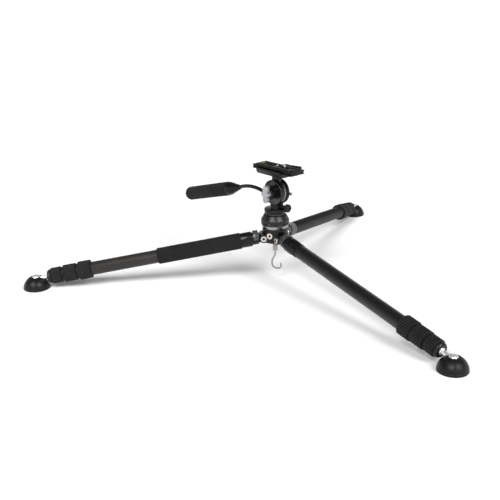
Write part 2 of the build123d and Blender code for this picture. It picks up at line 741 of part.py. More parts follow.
for leg, heading in leg_headings.items():
    axis = leg_axis(heading)
    side_plane = leg_side_plane(heading)

    with BuildPart() as hinge_casting:
        with BuildSketch(side_plane):
            Circle(ear_radius)
            with Locations((neck_start / 2, 0)):
                Rectangle(neck_start, 16)
        extrude(amount=ear_inner - 0.3, both=True)
        neck = [
            (neck_start, 0),
            (neck_start, casting_neck_radius),
            (block_start, casting_neck_radius),
            (block_start, block_radius - 1),
            (block_start + 1, block_radius),
            (block_end, block_radius),
            (block_end, socket_radius),
            (socket_end, socket_radius),
            (socket_end, tube_diameters[0] / 2),
            (tube_start, tube_diameters[0] / 2),
            (tube_start, 0),
        ]
        revolve(outline(side_plane, neck), axis=axis)
        with BuildSketch(side_plane):
            Circle(pin_radius + running_gap)
        extrude(amount=20, both=True, mode=Mode.SUBTRACT)
    save(hinge_casting, leg + "_hinge_casting")

    with BuildPart() as angle_tab:
        with BuildSketch(leg_cross_plane(heading, tab_start)):
            Circle(tab_radius)
            Circle(casting_neck_radius + 0.4, mode=Mode.SUBTRACT)
            with Locations((0, -tab_radius)):
                Rectangle(4 * tab_radius, 2 * tab_radius, mode=Mode.SUBTRACT)
        extrude(amount=tab_end - tab_start)
    save(angle_tab, leg + "_angle_tab")

    for section, name in enumerate(("upper_tube", "second_tube", "third_tube", "bottom_tube")):
        outer = tube_diameters[section] / 2
        inner = outer - tube_wall
        start = section_starts[section]
        end = section_ends[section]
        with BuildPart() as tube:
            revolve(outline(side_plane, tube_outline(start, end, inner, outer)), axis=axis)
            if section < 3:
                next_outer = tube_diameters[section + 1] / 2
                lip = lock_starts[section] + 3.0
                collar = outer + ferrule_walls[section]
                ferrule = [
                    (lip, outer),
                    (end, outer),
                    (end, next_outer + running_gap),
                    (end + 11, next_outer + running_gap),
                    (end + 11, collar),
                    (lip, collar),
                ]
                if section > 0:
                    shoulder = lock_starts[section] - 1.7
                    ferrule[0:1] = [(shoulder, outer)]
                    ferrule[-1:] = [
                        (lip, collar),
                        (lip, outer + 0.9),
                        (shoulder + 1.4, outer + 0.9),
                        (shoulder + 1.4, lock_diameters[section] / 2 - 2),
                        (shoulder, lock_diameters[section] / 2 - 2),
                    ]
                revolve(outline(side_plane, ferrule), axis=axis)
            else:
                end_cap = [
                    (end_disc, 0),
                    (cap_end, 0),
                    (cap_end, 11.8),
                    (cap_end - 3, 14.2),
                    (end_disc, 14.8),
                ]
                plug = [(end - 3, 0), (end_disc, 0), (end_disc, outer), (end - 3, outer)]
                revolve(outline(side_plane, plug), axis=axis)
                revolve(outline(side_plane, end_cap), axis=axis)
                with BuildSketch(leg_cross_plane(heading, end - 4)):
                    Circle(rod_radius_foot)
                extrude(amount=20, mode=Mode.SUBTRACT)
        save(tube, leg + "_" + name)

    for lock in range(3):
        outer = tube_diameters[lock] / 2
        next_outer = tube_diameters[lock + 1] / 2
        start = lock_starts[lock]
        end = start + lock_lengths[lock]
        lip = start + 2.9
        collar_end = section_ends[lock] + 11.1
        cavity = outer + ferrule_walls[lock] + running_gap
        rear_bore = outer + (0.25 if lock == 0 else 1.15)
        body = lock_diameters[lock] / 2
        with BuildPart() as lock_grip:
            grip = [
                (start, rear_bore),
                (lip, rear_bore),
                (lip, cavity),
                (collar_end, cavity),
                (collar_end, next_outer + 0.3),
                (end, next_outer + 0.3),
                (end, body - 1.2),
                (end - 1.2, body),
                (start + 1.6, body),
                (start, body - 1.6),
            ]
            revolve(outline(side_plane, grip), axis=axis)
            with BuildSketch(leg_cross_plane(heading, start + 4)):
                with PolarLocations(body + 1.2, 12):
                    Circle(1.9)
            extrude(amount=lock_lengths[lock] - 7, mode=Mode.SUBTRACT)
        save(lock_grip, leg + "_lock_" + str(lock + 1))

    with BuildPart() as foot_stem:
        stem = [
            (stem_start, 0),
            (leg_run, 0),
            (leg_run, rod_radius_foot),
            (cap_end + 3.4, rod_radius_foot),
            (cap_end + 0.4, 7),
            (cap_end, 7),
            (cap_end, rod_radius_foot),
            (stem_start, rod_radius_foot),
        ]
        revolve(outline(side_plane, stem), axis=axis)
        with Locations(foot_ball(heading)):
            Sphere(foot_ball_radius)
    save(foot_stem, leg + "_foot_stem")

    with BuildPart() as foot_pad:
        centre = foot_ball(heading)
        with Locations((centre.X, centre.Y, 0)):
            Sphere(foot_radius)
        with BuildSketch(Plane((centre.X, centre.Y, 0))):
            Circle(60)
        extrude(amount=-60, mode=Mode.SUBTRACT)
        with BuildSketch(Plane((centre.X, centre.Y, foot_rim_height))):
            Circle(60)
        extrude(amount=60, mode=Mode.SUBTRACT)
        with Locations(centre):
            Sphere(foot_ball_radius + 0.1, mode=Mode.SUBTRACT)
        slot_depth = rod_radius_foot + 0.6
        with BuildSketch(upright_plane(heading, foot_circle_radius, foot_ball_height)):
            with BuildLine():
                Polyline(
                    (0, -slot_depth),
                    (-40, 40 * sin(radians(leg_slope)) - slot_depth),
                    (-40, 30),
                    (0, 30),
                    close=True,
                )
            make_face()
        extrude(amount=rod_radius_foot + 0.6, both=True, mode=Mode.SUBTRACT)
    save(foot_pad, leg + "_foot_pad")

foam = [
    (grip_start, socket_radius),
    (socket_end, socket_radius),
    (socket_end, tube_diameters[0] / 2),
    (grip_end, tube_diameters[0] / 2),
    (grip_end, foam_radius - 0.8),
    (grip_end - 0.8, foam_radius),
    (grip_start + 0.8, foam_radius),
    (grip_start, foam_radius - 0.8),
]
with BuildPart() as leg_foam:
    foam_heading = leg_headings[grip_leg]
    revolve(outline(leg_side_plane(foam_heading), foam), axis=leg_axis(foam_heading))
save(leg_foam, grip_leg + "_foam_grip")
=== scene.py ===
import json
import math

import bmesh
import bpy
import numpy as np
from mathutils import Matrix, Vector


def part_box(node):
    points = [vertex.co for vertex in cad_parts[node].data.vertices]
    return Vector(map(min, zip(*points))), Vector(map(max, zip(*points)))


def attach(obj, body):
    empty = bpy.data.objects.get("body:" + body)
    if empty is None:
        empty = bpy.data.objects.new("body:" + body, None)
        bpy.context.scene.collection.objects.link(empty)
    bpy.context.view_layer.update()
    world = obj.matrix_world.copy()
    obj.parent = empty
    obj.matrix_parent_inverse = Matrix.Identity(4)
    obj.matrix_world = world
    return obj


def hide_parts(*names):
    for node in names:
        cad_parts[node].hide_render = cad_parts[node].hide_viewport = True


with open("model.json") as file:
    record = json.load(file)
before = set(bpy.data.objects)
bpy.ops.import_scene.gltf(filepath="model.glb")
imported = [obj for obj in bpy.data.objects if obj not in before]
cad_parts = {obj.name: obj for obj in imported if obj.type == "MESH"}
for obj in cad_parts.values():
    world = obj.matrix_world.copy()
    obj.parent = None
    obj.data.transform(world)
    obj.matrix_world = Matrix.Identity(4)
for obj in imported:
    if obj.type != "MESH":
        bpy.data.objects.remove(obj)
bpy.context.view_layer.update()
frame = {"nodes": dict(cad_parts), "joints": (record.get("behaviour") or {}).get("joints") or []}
nodes = frame["nodes"]
joints = {joint["name"]: joint for joint in frame["joints"]}
LEGS = ("front_leg", "right_leg", "rear_leg")
TURN = 2 * math.pi
MERGE_DISTANCE = 2e-6
SAME_CIRCLE = 3e-5
FLAT_ANGLE = math.radians(0.6)
CARBON_TOWS = 40
CARBON_TOW = 0.0022


# ---------------------------------------------------------------- procedural finishes

class Finish:
    """A node material on object coordinates in metres."""

    def __init__(self, name, **values):
        self.material = bpy.data.materials.new(name)
        self.material.use_nodes = True
        self.tree = self.material.node_tree
        self.shader = self.tree.nodes["Principled BSDF"]
        for key, value in values.items():
            self.shader.inputs[key.replace("_", " ")].default_value = value
        self.place = self.add("ShaderNodeTexCoord").outputs["Object"]

    def add(self, kind, **settings):
        node = self.tree.nodes.new(kind)
        for key, value in settings.items():
            setattr(node, key, value)
        return node

    def feed(self, socket, value):
        if isinstance(value, bpy.types.NodeSocket):
            self.tree.links.new(value, socket)
        else:
            socket.default_value = value

    def math(self, operation, a, b=0.0, c=0.0, clamp=False):
        node = self.add("ShaderNodeMath", operation=operation, use_clamp=clamp)
        for socket, value in zip(node.inputs, (a, b, c)):
            self.feed(socket, value)
        return node.outputs[0]

    def axes(self, origin=(0, 0, 0), turn=(0, 0, 0)):
        node = self.add("ShaderNodeMapping", vector_type="TEXTURE")
        self.feed(node.inputs["Vector"], self.place)
        node.inputs["Location"].default_value = origin
        node.inputs["Rotation"].default_value = turn
        split = self.add("ShaderNodeSeparateXYZ")
        self.feed(split.inputs[0], node.outputs[0])
        return split.outputs

    def noise(self, scale, detail=3.0, roughness=0.5, stretch=(1, 1, 1)):
        mapping = self.add("ShaderNodeMapping")
        self.feed(mapping.inputs["Vector"], self.place)
        mapping.inputs["Scale"].default_value = stretch
        node = self.add("ShaderNodeTexNoise")
        self.feed(node.inputs["Vector"], mapping.outputs[0])
        node.inputs["Scale"].default_value = scale
        node.inputs["Detail"].default_value = detail
        node.inputs["Roughness"].default_value = roughness
        return node.outputs[0]

    def cells(self, scale, feature="F1"):
        node = self.add("ShaderNodeTexVoronoi", feature=feature)
        self.feed(node.inputs["Vector"], self.place)
        node.inputs["Scale"].default_value = scale
        return node.outputs["Distance"]

    def spread(self, value, low, high, to_low=0.0, to_high=1.0, smooth=False):
        node = self.add("ShaderNodeMapRange", interpolation_type="SMOOTHSTEP" if smooth else "LINEAR")
        for key, item in zip(
            ("Value", "From Min", "From Max", "To Min", "To Max"), (value, low, high, to_low, to_high)
        ):
            self.feed(node.inputs[key], item)
        return node.outputs[0]

    def mixed(self, share, a, b):
        node = self.add("ShaderNodeMix", data_type="RGBA")
        self.feed(node.inputs[0], share)
        for socket, value in ((node.inputs[6], a), (node.inputs[7], b)):
            self.feed(socket, tuple(value) + (1.0,) if isinstance(value, tuple) else value)
        return node.outputs[2]

    def colour(self, value):
        self.feed(self.shader.inputs["Base Color"], value)

    def roughness(self, value):
        self.feed(self.shader.inputs["Roughness"], value)

    def bump(self, height, distance, strength=1.0, under=None):
        node = self.add("ShaderNodeBump")
        node.inputs["Strength"].default_value = strength
        node.inputs["Distance"].default_value = distance
        self.feed(node.inputs["Height"], height)
        if under is not None:
            self.feed(node.inputs["Normal"], under)
        self.feed(self.shader.inputs["Normal"], node.outputs[0])
        return node.outputs[0]


def carbon(name, tows, tow, dark, light, gloss, weave_sheen_share=0.45):
    """Twill weave wrapped round a tube along local z; its colour is partly painted sheen, with over-tows and
    tow crowns made lighter.
    """
    f = Finish(name, Coat_Weight=gloss, Coat_Roughness=0.28, IOR=1.5, Specular_IOR_Level=0.2)
    x, y, z = f.axes()
    round_ = f.math("MULTIPLY", f.math("DIVIDE", f.math("ARCTAN2", y, x), TURN), tows)
    along = f.math("DIVIDE", z, tow)
    cell = f.math("ADD", f.math("FLOOR", round_), f.math("FLOOR", along))
    over = f.math("LESS_THAN", f.math("MODULO", f.math("ADD", cell, 4000.0), 4.0), 2.0)
    ridges = []
    for axis in (round_, along):
        part = f.math("FRACT", axis)
        ridges.append(f.math("MULTIPLY", f.math("MULTIPLY", part, f.math("SUBTRACT", 1.0, part)), 4.0))
    under = f.math("SUBTRACT", 1.0, over)
    height = f.math("ADD", f.math("MULTIPLY", over, ridges[0]), f.math("MULTIPLY", under, ridges[1]))
    fibres = f.noise(900, 2.0, 0.5, (4, 4, 0.12))
    wear = f.noise(22, 4.0, 0.6)
    # painted highlight: the tow crowns and the over-tows are lightened in colour to stand for the weave's
    # sheen; the fibre and wear noise are real tone
    raised = f.math("MULTIPLY", height, 0.5 * weave_sheen_share)
    painted_sheen_and_tone = f.math("ADD", f.math("MULTIPLY", over, weave_sheen_share), raised)
    painted_sheen_and_tone = f.math("ADD", painted_sheen_and_tone, f.math("MULTIPLY", f.math("SUBTRACT", fibres, 0.5), 0.5))
    painted_sheen_and_tone = f.math("ADD", painted_sheen_and_tone, f.math("MULTIPLY", f.math("SUBTRACT", wear, 0.5), 0.5), clamp=True)
    f.colour(f.mixed(painted_sheen_and_tone, dark, light))
    f.roughness(f.math("ADD", f.spread(wear, 0.3, 0.7, 0.34, 0.46), f.math("MULTIPLY", over, -0.05)))
    weave = f.bump(height, 0.00005, 0.45)
    f.bump(fibres, 0.00002, 0.35, weave)
    return f.material


def coated(name, dark, light, rough, grain=1500, grain_depth=0.00003, coat=0.0, metal=0.0, blotch=35):
    """Painted, anodised or moulded surface with a fine grain and handling marks."""
    f = Finish(name, Metallic=metal, Coat_Weight=coat, Coat_Roughness=0.12, IOR=1.5, Specular_IOR_Level=0.22)
    wide = f.noise(blotch, 5.0, 0.6)
    fine = f.noise(grain, 2.0, 0.6)
    scuff = f.noise(240, 3.0, 0.7, (1, 0.08, 1))
    marks = f.spread(scuff, 0.62, 0.72, 0.0, 0.35, True)
    tone = f.math("ADD", f.spread(wide, 0.3, 0.7), f.math("MULTIPLY", f.math("SUBTRACT", fine, 0.5), 0.5))
    f.colour(f.mixed(f.math("ADD", tone, marks, clamp=True), dark, light))
    f.roughness(f.math("ADD", f.spread(wide, 0.3, 0.7, rough[0], rough[1]), f.math("MULTIPLY", marks, 0.12)))
    f.bump(fine, grain_depth, 0.5)
    return f


def turned(name, base, worn, rough, pitch=0.00035, depth=0.00001):
    """Bare metal with lathe marks round local z."""
    f = Finish(name, Metallic=1.0)
    x, y, z = f.axes()
    out = f.math("SQRT", f.math("ADD", f.math("MULTIPLY", x, x), f.math("MULTIPLY", y, y)))
    path = f.math("ADD", out, z)
    line = f.math("SINE", f.math("MULTIPLY", path, TURN / pitch))
    wide = f.noise(60, 4.0, 0.6)
    fine = f.noise(1200, 2.0, 0.5)
    tone = f.math("ADD", f.spread(wide, 0.3, 0.7, 0.0, 0.8), f.math("MULTIPLY", line, 0.12), clamp=True)
    f.colour(f.mixed(tone, base, worn))
    f.roughness(f.math("ADD", f.spread(wide, 0.3, 0.7, rough[0], rough[1]), f.math("MULTIPLY", fine, 0.06)))
    marks = f.bump(line, depth, 0.4)
    f.bump(fine, 0.00001, 0.3, marks)
    return f


def foam(name, dark, light):
    """Closed-cell foam."""
    f = Finish(name, Sheen_Weight=0.02, Sheen_Roughness=0.6, Specular_IOR_Level=0.14)
    cells = f.cells(1100)
    wide = f.noise(28, 4.0, 0.6)
    fine = f.noise(2600, 3.0, 0.7)
    tone = f.math("ADD", f.spread(wide, 0.3, 0.7, 0.1, 0.7), f.spread(cells, 0.1, 0.7, -0.15, 0.3))
    speckle = f.math("MULTIPLY", f.math("SUBTRACT", fine, 0.5), 0.5)
    f.colour(f.mixed(f.math("ADD", tone, speckle, clamp=True), dark, light))
    f.roughness(f.spread(fine, 0.3, 0.7, 0.82, 0.95))
    pores = f.bump(cells, 0.00018, 0.5)
    f.bump(fine, 0.00008, 0.4, pores)
    return f.material


def rubber(name, dark, light, rough=(0.5, 0.68)):
    """Moulded rubber with faint dust."""
    f = Finish(name, Specular_IOR_Level=0.22)
    wide = f.noise(45, 5.0, 0.65)
    fine = f.noise(2200, 3.0, 0.6)
    dust = f.spread(f.noise(160, 4.0, 0.7), 0.55, 0.75, 0.0, 0.5, True)
    tone = f.math("ADD", f.spread(wide, 0.3, 0.7, 0.0, 0.6), dust)
    speckle = f.math("MULTIPLY", f.math("SUBTRACT", fine, 0.5), 0.4)
    f.colour(f.mixed(f.math("ADD", tone, speckle, clamp=True), dark, light))
    f.roughness(f.math("ADD", f.spread(wide, 0.3, 0.7, rough[0], rough[1]), f.math("MULTIPLY", dust, 0.15)))
    f.bump(fine, 0.00005, 0.5)
    return f


def fluted(name, dark, light, toward, flutes=9):
    """Moulded rubber dome with a fan of thin raised lines and a bead above its sole."""
    f = rubber(name, dark, light, (0.3, 0.46))
    x, y, z = f.axes(turn=(0, 0, toward))
    part = f.math("FRACT", f.math("MULTIPLY", f.math("DIVIDE", f.math("ARCTAN2", y, x), TURN), flutes))
    line = f.spread(f.math("ABSOLUTE", f.math("SUBTRACT", part, 0.5)), 0.0, 0.035, 1.0, 0.0, True)
    bead = f.spread(f.math("ABSOLUTE", f.math("SUBTRACT", z, 0.0035)), 0.0, 0.0009, 1.0, 0.0, True)
    grain = f.noise(1600, 2.0, 0.6)
    raised = f.bump(f.math("MAXIMUM", line, bead), 0.0006, 0.9)
    f.bump(grain, 0.00004, 0.5, raised)
    return f.material


def scaled_band(name, dark, light, ticks, height, half):
    """Anodised ring with a row of fine index marks at one height."""
    f = coated(name, dark, light, (0.3, 0.42), 1800, 0.00002, 0.1, 0.3)
    x, y, z = f.axes()
    part = f.math("FRACT", f.math("MULTIPLY", f.math("DIVIDE", f.math("ARCTAN2", y, x), TURN), ticks))
    mark = f.math("LESS_THAN", f.math("ABSOLUTE", f.math("SUBTRACT", part, 0.5)), 0.06)
    band = f.math("LESS_THAN", f.math("ABSOLUTE", f.math("SUBTRACT", z, height)), half)
    old = f.shader.inputs["Base Color"].links[0].from_socket
    f.colour(f.mixed(f.math("MULTIPLY", mark, band), old, (0.32, 0.32, 0.33)))
    return f.material


# ---------------------------------------------------------------- geometry helpers

def frame_at(origin, z, x_hint):
    z = Vector(z).normalized()
    x = Vector(x_hint)
    x = (x - z * x.dot(z)).normalized()
    matrix = Matrix((x, z.cross(x), z)).transposed().to_4x4()
    matrix.translation = Vector(origin)
    return matrix


def leg_frame(leg):
    """Origin on the hinge pin, z outward along the leg, y up."""
    hinge = joints[leg + "_spread"]
    matrix = frame_at(hinge["pos_m"], joints[leg + "_extend_1"]["axis"], hinge["axis"])
    return matrix if matrix.col[1][2] > 0 else matrix @ Matrix.Rotation(math.pi, 4, "Z")


def local_points(node, matrix):
    inverse = matrix.inverted()
    return np.array([inverse @ v.co for v in nodes[node].data.vertices])


def local_box(node, matrix):
    points = local_points(node, matrix)
    return Vector(points.min(0)), Vector(points.max(0))


def local_reach(node, matrix):
    points = local_points(node, matrix)
    return float(np.hypot(points[:, 0], points[:, 1]).max())


def long_axis(node):
    """Frame on the long axis of a round node, z toward its +Y end."""
    points = np.array([v.co for v in nodes[node].data.vertices])
    centre = points.mean(0)
    direction = Vector(np.linalg.svd(points - centre, full_matrices=False)[2][0])
    if direction.y < 0:
        direction = -direction
    return frame_at(centre, direction, (1, 0, 0))


def finish_mesh(bm, name, matrix, bevel=0.0, segments=2, limit=28, smooth=32):
    bmesh.ops.recalc_face_normals(bm, faces=bm.faces)
    if bevel:
        sharp = [e for e in bm.edges if e.is_manifold and e.calc_face_angle(0) > math.radians(limit)]
        bmesh.ops.bevel(
            bm,
            geom=sharp,
            offset=bevel,
            offset_type="OFFSET",
            segments=segments,
            profile=0.5,
            affect="EDGES",
            clamp_overlap=True,
        )
    mesh = bpy.data.meshes.new(name)
    bm.to_mesh(mesh)
    bm.free()
    mesh.shade_smooth()
    mesh.set_sharp_from_angle(angle=math.radians(smooth))
    obj = bpy.data.objects.new(name, mesh)
    bpy.context.scene.collection.objects.link(obj)
    obj.matrix_world = matrix
    return obj


def lathe(name, rows, matrix, sides=96, bevel=0.0, closed=True, smooth=32):
    """Turned shape about local z. A row is (radius, height), and each may be a function of the angle."""
    bm = bmesh.new()
    angles = [TURN * k / sides for k in range(sides)]
    rings = []
    for radius, height in rows:
        if not callable(radius) and radius == 0:
            rings.append([bm.verts.new((0, 0, height))] * sides)
            continue
        ring = []
        for a in angles:
            r = radius(a) if callable(radius) else radius
            h = height(a) if callable(height) else height
            ring.append(bm.verts.new((r * math.cos(a), r * math.sin(a), h)))
        rings.append(ring)
    pairs = list(zip(rings, rings[1:] + rings[:1])) if closed else list(zip(rings, rings[1:]))
    for low, high in pairs:
        for k in range(sides):
            n = (k + 1) % sides
            corners = []
            for v in (low[k], low[n], high[n], high[k]):
                if v not in corners:
                    corners.append(v)
            if len(corners) > 2:
                bm.faces.new(corners)
    return finish_mesh(bm, name, matrix, bevel, 2, 28, smooth)


def softened(node, name, width, matrix=None, segments=2, limit=30, smooth=32):
    """Copy of a CAD node with its edges rounded, in the given local frame."""
    matrix = matrix or Matrix.Identity(4)
    bm = bmesh.new()
    bm.from_mesh(nodes[node].data)
    bmesh.ops.transform(bm, matrix=matrix.inverted(), verts=bm.verts)
    bmesh.ops.remove_doubles(bm, verts=bm.verts, dist=MERGE_DISTANCE)
    bmesh.ops.dissolve_limit(bm, angle_limit=FLAT_ANGLE, verts=bm.verts, edges=bm.edges)
    obj = finish_mesh(bm, name, matrix, width, segments, limit, smooth)
    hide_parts(node)
    return obj


def relathe(node, name, matrix, sides=96, bevel=0.0, smooth=32):
    """Finer copy of a CAD node that is a shape of revolution about local z."""
    bm = bmesh.new()
    bm.from_mesh(nodes[node].data)
    bmesh.ops.transform(bm, matrix=matrix.inverted(), verts=bm.verts)
    circles, of_vertex = [], {}
    for v in bm.verts:
        key = (math.hypot(v.co.x, v.co.y), v.co.z)
        found = next(
            (
                k
                for k, c in enumerate(circles)
                if abs(c[0] - key[0]) < SAME_CIRCLE and abs(c[1] - key[1]) < SAME_CIRCLE
            ),
            None,
        )
        if found is None:
            found = len(circles)
            circles.append(key)
        of_vertex[v] = found
    bands, discs = set(), set()
    for face in bm.faces:
        ids = {of_vertex[v] for v in face.verts}
        if len(ids) == 1:
            discs |= ids
        elif len(ids) == 2:
            bands.add(tuple(sorted(ids)))
    bm.free()
    made = bmesh.new()
    rings = []
    for radius, height in circles:
        if radius < SAME_CIRCLE:
            rings.append([made.verts.new((0, 0, height))] * sides)
        else:
            angles = [TURN * k / sides for k in range(sides)]
            rings.append(
                [made.verts.new((radius * math.cos(a), radius * math.sin(a), height)) for a in angles]
            )
    for a, b in bands:
        for k in range(sides):
            n = (k + 1) % sides
            corners = []
            for v in (rings[a][k], rings[a][n], rings[b][n], rings[b][k]):
                if v not in corners:
                    corners.append(v)
            if len(corners) > 2:
                made.faces.new(corners)
    for d in discs:
        if circles[d][0] >= SAME_CIRCLE:
            made.faces.new(rings[d])
    obj = finish_mesh(made, name, matrix, bevel, 2, 28, smooth)
    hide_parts(node)
    return obj


def dress(obj, material, body):
    obj.data.materials.clear()
    obj.data.materials.append(material)
    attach(obj, body)
    return obj


# ---------------------------------------------------------------- the finishes used

tube_black = carbon(
    "tube_carbon", CARBON_TOWS, CARBON_TOW, (0.0028, 0.0028, 0.003), (0.013, 0.0125, 0.013), 0.16
)
# lighter, lower-contrast copy of the same carbon for the rear leg's exposed tube: painted light, the tube
# shown as more brightly lit
tube_painted_lit_copy = carbon(
    "tube_carbon_painted_lit", CARBON_TOWS, CARBON_TOW, (0.02, 0.018, 0.017), (0.066, 0.059, 0.055), 0.12, 0.14
)
casting = coated(
    "cast_black", (0.0014, 0.0014, 0.0015), (0.006, 0.006, 0.0065), (0.22, 0.34), 1300, 0.00004, 0.12
).material
anodised = coated(
    "anodised_black", (0.002, 0.002, 0.0022), (0.008, 0.008, 0.009), (0.3, 0.42), 1800, 0.00002, 0.05
).material
ring_black = coated(
    "ring_black", (0.004, 0.004, 0.0043), (0.018, 0.018, 0.019), (0.3, 0.42), 1600, 0.00002, 0.15
).material
dish_grey = coated(
    "dish_grey", (0.04, 0.04, 0.042), (0.08, 0.08, 0.084), (0.2, 0.3), 1600, 0.00002, 0.0, 0.9
).material
plastic = coated(
    "plastic_black", (0.0025, 0.0025, 0.0027), (0.01, 0.01, 0.011), (0.35, 0.5), 1500, 0.00004
).material
grey = coated(
    "titanium_grey", (0.05, 0.05, 0.053), (0.12, 0.12, 0.127), (0.26, 0.4), 1800, 0.00002, 0.0, 0.6
).material
lever_grey = coated(
    "lever_grey", (0.16, 0.16, 0.17), (0.28, 0.28, 0.3), (0.26, 0.4), 1800, 0.00002, 0.0, 0.6
).material
silver = coated(
    "die_cast_silver", (0.34, 0.34, 0.36), (0.5, 0.5, 0.53), (0.26, 0.38), 1500, 0.00003, 0.0, 0.8
).material
steel = turned("steel", (0.55, 0.51, 0.47), (0.8, 0.76, 0.72), (0.16, 0.28)).material
wire = coated(
    "hook_wire", (0.3, 0.26, 0.235), (0.44, 0.39, 0.36), (0.26, 0.38), 1500, 0.00002, 0.0, 0.6
).material
chrome = coated(
    "chrome", (0.74, 0.73, 0.72), (0.9, 0.89, 0.88), (0.16, 0.24), 900, 0.000004, 0.0, 0.75
).material
bright = turned("bright_ring", (0.3, 0.3, 0.315), (0.46, 0.46, 0.48), (0.24, 0.34)).material
brass = turned("brass", (0.62, 0.38, 0.12), (0.85, 0.6, 0.25), (0.2, 0.32), pitch=0.0002).material
pad_rubber = rubber("pad_rubber", (0.004, 0.004, 0.004), (0.012, 0.012, 0.012)).material
# near-black finish for the screw socket floors: painted shade in the recesses
socket_painted_shade = rubber("socket_painted_shade", (0.004, 0.004, 0.004), (0.01, 0.01, 0.01)).material
grip_foam = foam("grip_foam", (0.004, 0.004, 0.0043), (0.017, 0.017, 0.018))


# ---------------------------------------------------------------- hub

def upright(node):
    low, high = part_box(node)
    return Matrix.Translation(((low.x + high.x) / 2, (low.y + high.y) / 2, 0))


dress(softened("apex_casting", "apex_shell", 0.0007), casting, "hub")
dress(relathe("top_ring", "top_ring_bright", upright("top_ring"), 128, 0.00025), bright, "hub")
levelling_cup = relathe("levelling_cup", "levelling_cup_shell", upright("levelling_cup"), 128, 0.0004)
dress(levelling_cup, anodised, "hub")
dress(softened("hook_sleeve", "hook_sleeve_nut", 0.0003), wire, "hub")
dress(softened("hook_wire", "weight_hook_wire", 0.0, smooth=60), wire, "weight_hook")


def split_islands(node):
    """Points of each separate solid in a node."""
    bm = bmesh.new()
    bm.from_mesh(nodes[node].data)
    bmesh.ops.remove_doubles(bm, verts=bm.verts, dist=MERGE_DISTANCE)
    left, found = set(bm.verts), []
    while left:
        queue = [left.pop()]
        island = list(queue)
        while queue:
            for edge in queue.pop().link_edges:
                for v in edge.verts:
                    if v in left:
                        left.discard(v)
                        queue.append(v)
                        island.append(v)
        found.append([v.co.copy() for v in island])
    bm.free()
    return found


SOCKET_RADIUS = 0.0030
SOCKET_FLOOR = 0.0012


def painted_shade_sockets(node, both_ends):
    """Near-black hexagonal discs at the recess floors inside the screw heads of a node: painted shade in the
    sockets.
    """
    for number, points in enumerate(split_islands(node)):
        cloud = np.array(points)
        middle = cloud.mean(0)
        direction = Vector(np.linalg.svd(cloud - middle, full_matrices=False)[2][0])
        if direction.dot(Vector(middle)) < 0:
            direction = -direction
        reach = (cloud - middle) @ np.array(direction)
        ends = (reach.max(), reach.min()) if both_ends else (reach.max(),)
        for side, end in enumerate(ends):
            outward = direction if side == 0 else -direction
            place = Vector(middle) + direction * float(end) - outward * SOCKET_FLOOR
            rows = [(0, -0.0004), (SOCKET_RADIUS, -0.0004), (SOCKET_RADIUS, 0), (0, 0)]
            name = f"{node}_socket_{number}_{side}"
            disc = lathe(name, rows, frame_at(place, outward, (0, 0, 1)), 6, 0, True, 20)
            dress(disc, socket_painted_shade, "hub")


dress(softened("leg_hinge_bolts", "hinge_bolts", 0.0003), steel, "hub")
dress(softened("apex_side_screws", "side_screws", 0.0003), steel, "hub")
painted_shade_sockets("leg_hinge_bolts", True)
painted_shade_sockets("apex_side_screws", False)

# ---------------------------------------------------------------- levelling base

ring_low, ring_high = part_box("levelling_lock_ring")
ring_radius = (ring_high.x - ring_low.x) / 2
ring_bore = min(math.hypot(v.co.x, v.co.y) for v in nodes["levelling_lock_ring"].data.vertices)
ring_mouth = min(
    math.hypot(v.co.x, v.co.y)
    for v in nodes["levelling_lock_ring"].data.vertices
    if v.co.z > ring_high.z - 0.0005
)
SCALLOPS = 10


def scallop(depth, radius=ring_radius):
    def radius_at(a):
        wave = 0.5 + 0.5 * math.cos(a * SCALLOPS)
        return radius - depth * max(0.0, (wave - 0.25) / 0.75) ** 1.5
    return radius_at


ring_rows = [
    (ring_bore, ring_low.z),
    (ring_radius - 0.0010, ring_low.z),
    (ring_radius - 0.0005, ring_low.z + 0.0004),
    (ring_radius - 0.0001, ring_low.z + 0.0028),
    (ring_radius - 0.0004, ring_low.z + 0.0034),
    (ring_radius - 0.0012, ring_low.z + 0.0038),
    (ring_radius - 0.0012, ring_low.z + 0.0044),
    (ring_radius, ring_low.z + 0.0050),
    (scallop(0.0007), ring_low.z + 0.0072),
    (scallop(0.0007), ring_low.z + 0.0098),
    (scallop(0.0006, ring_radius - 0.0004), ring_low.z + 0.0110),
    (scallop(0.0004, ring_radius - 0.0013), ring_low.z + 0.0122),
    (ring_radius - 0.0030, ring_low.z + 0.0146),
    (ring_mouth + 0.0016, ring_high.z - 0.0014),
    (ring_mouth + 0.0008, ring_high.z - 0.0003),
    (ring_mouth + 0.0003, ring_high.z),
    (ring_mouth, ring_high.z),
    (ring_mouth, ring_high.z - 0.0020),
    (ring_bore, ring_high.z - 0.0075),
]
lock_ring = lathe("levelling_ring_scalloped", ring_rows, upright("levelling_lock_ring"), 240, 0, True, 35)
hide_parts("levelling_lock_ring")
dress(lock_ring, ring_black, "lock_ring")
dot_angle = math.radians(201.7)
dot_out = Vector((math.cos(dot_angle), math.sin(dot_angle), 0))
dot = lathe(
    "levelling_ring_index",
    [(0, -0.001), (0.0011, -0.001), (0.0011, 0.0001), (0.0008, 0.0004), (0, 0.0005)],
    frame_at(dot_out * (ring_radius - 0.0006) + Vector((0, 0, ring_low.z + 0.0048)), dot_out, (0, 0, 1)),
    32,
)
dress(dot, brass, "lock_ring")

